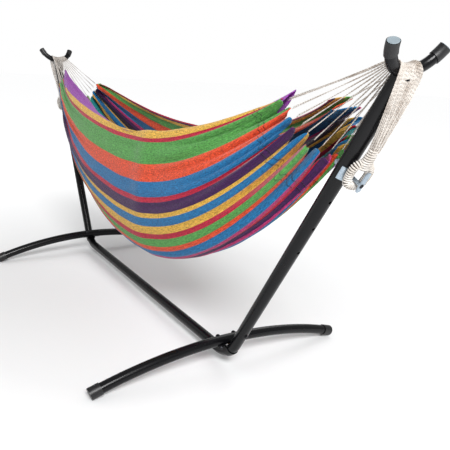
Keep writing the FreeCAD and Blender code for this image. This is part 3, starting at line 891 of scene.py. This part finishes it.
    def sheet_mesh(self) -> bpy.types.Mesh:
        """The gathered sheet, from a grid whose points are moved into place."""
        bm = bmesh.new()
        bmesh.ops.create_grid(bm, x_segments=self.rows, y_segments=self.columns, size=1.0, calc_uvs=True)
        bm.verts.ensure_lookup_table()
        uv = bm.loops.layers.uv.active or bm.loops.layers.uv.new("UVMap")
        for face in bm.faces:
            for loop in face.loops:
                loop[uv].uv = ((loop.vert.co.y + 1) / 2, (loop.vert.co.x + 1) / 2)
        columns: dict[int, list[bmesh.types.BMVert]] = {}
        for vert in bm.verts:
            columns.setdefault(round((vert.co.x + 1) / 2 * self.rows), []).append(vert)
        for members in columns.values():
            members.sort(key=lambda v: v.co.y)
            along = members[0].co.x
            along = math.copysign(1 - (1 - abs(along)) ** 1.12, along) if along else 0.0
            end = 1 if along > 0 else -1
            places = [(v.co.y + 1) / 2 for v in members]
            reach = abs(along) ** 14
            alongs = [along * (1 - self.finger_deep * reach * self.finger_phase(place) ** 2.2)
                      for place in places]
            row = self.row(along, places)
            back = self.row(along * (1 - self.finger_deep), places)
            for index, vert in enumerate(members):
                share = (1 - alongs[index] / along) / self.finger_deep if along else 0.0
                point = row[index].lerp(back[index], min(max(share, 0.0), 1.0))
                before = row[max(index - 1, 0)]
                after = row[min(index + 1, len(row) - 1)]
                run = (after - before).normalized()
                outward = run.cross(Vector((1, 0, 0))).normalized()
                if outward.y * (places[index] - 0.5) < 0 and abs(outward.z) < 0.5:
                    outward.negate()
                elif abs(outward.z) >= 0.5 and outward.z > 0 and places[index] > 0.1:
                    outward.negate()
                vert.co = point + outward * self.fold(along, places[index], end)
        mesh = mesh_of(bm)
        mesh.uv_layers[0].name = "UVMap"
        return mesh

    def finger_tips(self, end: End) -> list[Point]:
        """Where each finger's string is tied, at one end."""
        return self.row(1.0 if end is End.RIGHT else -1.0, self.finger_centres())

    def build(self) -> bpy.types.Object:
        """Builds the bed and logs its name and faces.

        Returns:
            The cloth.
        """
        cotton = StripedCotton().material()
        piece = piece_from(self.sheet_mesh(), "hammock_cloth", cotton, Body.BED)
        wall = piece.modifiers.new("wall", "SOLIDIFY")
        wall.thickness = self.thickness
        wall.offset = 0.0
        wall.use_even_offset = False
        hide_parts("hammock_bed")
        log.info("made %s with %d faces", piece.name, len(piece.data.polygons))
        return piece


# ---- ropes ----
SWING_FROM = Vector((1.235, 0.0, 1.070))
SWING_TO = Vector((1.130, 0.0, 1.030))


@dataclass
class Strings:
    """The sixteen two-ply strings of one end, from the neck over the fork to the fingers."""

    end: End
    cloth: Cloth
    post: PostFrame = field(default_factory=PostFrame)
    diameter: float = 0.0024
    pitch: float = 0.0054
    neck_top: float = 0.1687
    neck_out: float = 0.050
    neck_rows: float = 0.0052
    neck_columns: float = 0.007
    wrap: float = 0.0156
    wrap_from: float = 35.0
    wrap_step: float = 31.0
    lay: float = 0.016
    spacing: float = 0.0034

    def tip_order(self) -> list[Point]:
        """The finger tips in the order of the strings on the fork, taken to the right end."""
        tips = [self.end.place(tip) for tip in self.cloth.finger_tips(self.end)]
        return tips if self.end is End.RIGHT else tips[::-1]

    def route(self, index: int, tip: Point, twin: int) -> list[Point]:
        """One string's route at the right end.

        Args:
            index: the string's number across the fork.
            tip: the finger that it is tied to.
            twin: 1 or -1, for the two strings of a pair.

        Returns:
            The route's points, from the neck to the finger.
        """
        angle = (index - 7.5 + twin * 0.25) * math.degrees(self.pitch / self.post.fork_r)
        row, column = index % 4 - 1.5, index // 4 - 1.5
        turn = math.radians(angle)
        across = Vector((0, 1, 0))
        inward = self.post.up * math.cos(turn) - across * math.sin(turn)
        centre = self.post.fork_centre - inward * self.post.fork_r
        corner = self.wrap / math.cos(math.radians(self.wrap_step))
        top = self.post.on_post(self.neck_top, self.neck_out + row * self.neck_rows,
                                column * self.neck_columns + twin * 0.0013)
        beside = centre - self.post.out * 0.0262 - inward * 0.008
        return [
            top - self.post.up * 0.006,
            top + self.post.up * 0.012,
            centre + self.post.out * 0.0265 - inward * 0.010,
            self.post.on_fork(angle, self.wrap_from + self.wrap_step, corner),
            self.post.on_fork(angle, self.wrap_from + 3 * self.wrap_step, corner),
            beside + (centre - beside) * 0.12 + inward * 0.014,
            beside.lerp(tip, 0.25) + across * (twin * 0.0012),
            tip + (across * 0.25 + self.post.up * 0.9) * (twin * 0.0032),
        ]

    def string(self, index: int, tip: Point, twin: int,
               material: bpy.types.Material) -> bpy.types.Object:
        """One twisted string.

        Args:
            index: the string's number across the fork.
            tip: the finger that it is tied to.
            twin: 1 or -1, for the two strings of a pair.
            material: its finish.

        Returns:
            The piece.
        """
        route = [self.end.place(point) for point in self.route(index, tip, twin)]
        line = spline_points(route, self.spacing)
        ply = self.diameter / 4
        lines = [wound(line, ply, self.lay, phase) for phase in (0.0, 0.5)]
        mesh = curve_mesh(lines, ply * 1.15, 1)
        name = f"string_{self.end.value}_{index + 1:02d}_{'a' if twin > 0 else 'b'}"
        piece = piece_from(mesh, name, material, None)
        self.end.place(SWING_FROM)
        self.end.place(SWING_TO)
        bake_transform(piece)
        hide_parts(f"string_fan_{self.end.value}", f"rope_tails_{self.end.value}")
        return piece

    def build(self) -> None:
        """Builds the end's strings: a pair to each finger."""
        cord, shaded = WHITE_CORD.material(), SHADE_CORD.material()
        for index, tip in enumerate(self.tip_order()):
            # Each pair has one string in the white cord and one in its darker copy, which is painted shade.
            for twin, finish in ((1, cord), (-1, shaded)):
                log.info("made %s", self.string(index, tip, twin, finish).name)


@dataclass
class RopeEnd:
    """The whipped neck and the eye that hangs on the hook."""

    end: End
    post: PostFrame = field(default_factory=PostFrame)
    eye_out: float = 0.050
    eye_half: float = 0.023
    eye_low: float = 0.2503
    eye_long: float = 0.034
    neck_base: float = 0.222
    neck_tall: float = 0.054
    neck_turns: int = 9
    twist_deg: float = 24.0
    core_r: float = 0.0082
    coil_r: float = 0.0096
    coil_pitch: float = 0.0056
    coil_cord_r: float = 0.0024
    neck_cord_r: float = 0.0026

    def eye_line(self) -> list[Point]:
        """The centre line of the eye: down one leg, round the bottom and up the other."""
        high, low = self.eye_low - self.eye_long, self.eye_low
        places = [(high - 0.012, -0.25), (high - 0.002, -0.8), (high + 0.014, -1.05), (low, -1.0),
                  (low + 0.020, -0.85), (low + 0.0245, 0.0), (low + 0.020, 0.85), (low, 1.0),
                  (high + 0.014, 1.05), (high - 0.002, 0.8), (high - 0.012, 0.25)]
        turn = math.radians(self.twist_deg)
        reach = self.eye_half
        return [self.end.place(self.post.on_post(down, self.eye_out + across * reach * math.sin(turn),
                                                 across * reach * math.cos(turn)))
                for down, across in places]

    def eye(self, material: bpy.types.Material, dark: bpy.types.Material) -> bpy.types.Object:
        """The eye: a core of strings under a close whipping; the core's dark colour is painted shade for the gaps
        between the turns.
        """
        line = spline_points(self.eye_line(), 0.00028)
        core = curve_mesh([line[::10] + [line[-1]]], self.core_r, 3)
        turns = curve_mesh([wound(line, self.coil_r, self.coil_pitch, 0.0)], self.coil_cord_r, 1)
        core_piece = piece_from(core, f"eye_core_{self.end.value}", dark, Body.STAND)
        log.info("made %s", core_piece.name)
        piece = piece_from(turns, f"eye_whipping_{self.end.value}", material, Body.STAND)
        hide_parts(f"rope_eye_{self.end.value}")
        return piece

    def neck(self, material: bpy.types.Material, dark: bpy.types.Material) -> bpy.types.Object:
        """The neck: an oval bundle under a close whipping, fuller in its middle; the bundle's dark colour is painted
        shade for the gaps between the turns.
        """
        line, steps = [], self.neck_turns * 28
        for index in range(steps + 1):
            share = index / steps
            turn = 2 * math.pi * share * self.neck_turns
            full = 1.08 - 0.30 * share + 0.06 * math.sin(math.pi * share)
            wave = 0.0004 * math.sin(turn * 0.37)
            down = self.neck_base - share * self.neck_tall
            line.append(self.end.place(self.post.on_post(
                down, self.eye_out + (0.0120 * full + wave) * math.cos(turn),
                (0.0152 * full + wave) * math.sin(turn))))
        winding = curve_mesh([line], self.neck_cord_r, 1)
        bm = bmesh.new()
        bmesh.ops.create_cone(bm, cap_ends=True, segments=32, radius1=1.0, radius2=0.76, depth=1.0)
        bmesh.ops.scale(bm, vec=(0.0112, 0.0144, self.neck_tall * 0.99), verts=bm.verts)
        basis = Matrix((self.post.out, Vector((0, 1, 0)), self.post.up)).transposed().to_4x4()
        middle = self.post.on_post(self.neck_base - self.neck_tall / 2, self.eye_out)
        bmesh.ops.transform(bm, matrix=Matrix.Translation(middle) @ basis, verts=bm.verts)
        Stand.take_to(bm, self.end)
        core = piece_from(mesh_of(bm), f"neck_core_{self.end.value}", dark, Body.STAND)
        log.info("made %s", core.name)
        piece = piece_from(winding, f"neck_whipping_{self.end.value}", material, Body.STAND)
        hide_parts(f"rope_neck_{self.end.value}")
        return piece

    def build(self) -> None:
        """Builds the neck and the eye."""
        # The dark core finish is painted shade between the whipping's turns.
        cord, dark = WHITE_CORD.material(), SHADED_CORE_CORD.material()
        for piece in (self.neck(cord, dark), self.eye(cord, dark)):
            log.info("made %s with %d faces", piece.name, len(piece.data.polygons))


# ---- studio ----
@dataclass
class Studio:
    """The camera, the lights and the floor."""

    place: tuple[float, float, float] = (2.0784, -1.0590, 1.0480)
    yaw: float = 0.54071
    pitch: float = -0.48770
    roll: float = 0.05777
    lens: float = 38.332
    shift: tuple[float, float] = (0.1172, 0.2251)

    def camera(self) -> None:
        """Sets up the camera."""
        ahead = Vector((-math.cos(self.yaw) * math.cos(self.pitch),
                        math.sin(self.yaw) * math.cos(self.pitch), math.sin(self.pitch)))
        right = ahead.cross(Vector((0, 0, 1))).normalized()
        up = right.cross(ahead)
        across = right * math.cos(self.roll) + up * math.sin(self.roll)
        upward = up * math.cos(self.roll) - right * math.sin(self.roll)
        data = bpy.data.cameras.new("camera")
        data.sensor_width = 36.0
        data.lens = self.lens
        data.shift_x, data.shift_y = self.shift
        data.clip_end = 300.0
        camera = bpy.data.objects.new("camera", data)
        bpy.context.scene.collection.objects.link(camera)
        turn = Matrix((across, upward, -ahead)).transposed().to_4x4()
        camera.matrix_world = Matrix.Translation(self.place) @ turn
        bpy.context.scene.camera = camera

    @staticmethod
    def light(name: str, place: Point, aim: Point, size: float, power: float) -> None:
        """Adds a square soft light.

        Args:
            name: its name.
            place: where it stands.
            aim: the point that it faces.
            size: its side in metres.
            power: its power in watts.
        """
        data = bpy.data.lights.new(name, "AREA")
        data.shape = "SQUARE"
        data.size = size
        data.energy = power
        lamp = bpy.data.objects.new(name, data)
        lamp.location = place
        lamp.rotation_euler = (aim - place).to_track_quat("-Z", "Y").to_euler()
        bpy.context.scene.collection.objects.link(lamp)

    def floor(self) -> None:
        """Makes the pale floor."""
        bm = bmesh.new()
        bmesh.ops.create_grid(bm, x_segments=8, y_segments=8, size=60.0)
        mesh = mesh_of(bm)
        mesh.materials.append(StudioFloor().material())
        floor = bpy.data.objects.new("floor", mesh)
        bpy.context.scene.collection.objects.link(floor)
        floor.location.z = -0.0005

    def build(self) -> None:
        """Builds the studio."""
        self.camera()
        middle = Vector((0.1, 0.0, 0.6))
        self.light("key", Vector((4.4, -1.5, 4.2)), middle, 1.9, 330.0)
        self.light("fill", Vector((-2.2, -3.0, 2.4)), middle, 3.0, 12.0)
        self.light("back", Vector((-1.5, 3.0, 3.2)), middle, 2.5, 45.0)
        self.floor()
        self.sky()
        log.info("made the studio")

    @staticmethod
    def sky() -> None:
        """Sets up the soft white surroundings, plain white behind the object."""
        world = bpy.data.worlds.new("studio")
        world.use_nodes = True
        nodes, links = world.node_tree.nodes, world.node_tree.links
        dim, white = nodes["Background"], nodes.new("ShaderNodeBackground")
        dim.inputs[0].default_value = (1.0, 1.0, 1.0, 1.0)
        dim.inputs[1].default_value = 0.42
        path, join = nodes.new("ShaderNodeLightPath"), nodes.new("ShaderNodeMixShader")
        links.new(path.outputs["Is Camera Ray"], join.inputs[0])
        links.new(dim.outputs[0], join.inputs[1])
        links.new(white.outputs[0], join.inputs[2])
        white.inputs[0].default_value = (1.0, 1.0, 1.0, 1.0)
        links.new(join.outputs[0], nodes["World Output"].inputs["Surface"])
        bpy.context.scene.world = world
        bpy.context.scene.view_settings.view_transform = "Standard"


def main() -> None:
    """Builds the whole model in order."""
    logging.basicConfig(level=logging.INFO, format="%(name)s: %(message)s")
    Studio().build()
    cloth = Cloth()
    for end in End:
        Strings(end, cloth).build()
        RopeEnd(end).build()
    cloth.build()
    Stand().build()


if __name__ == "__main__":
    main()
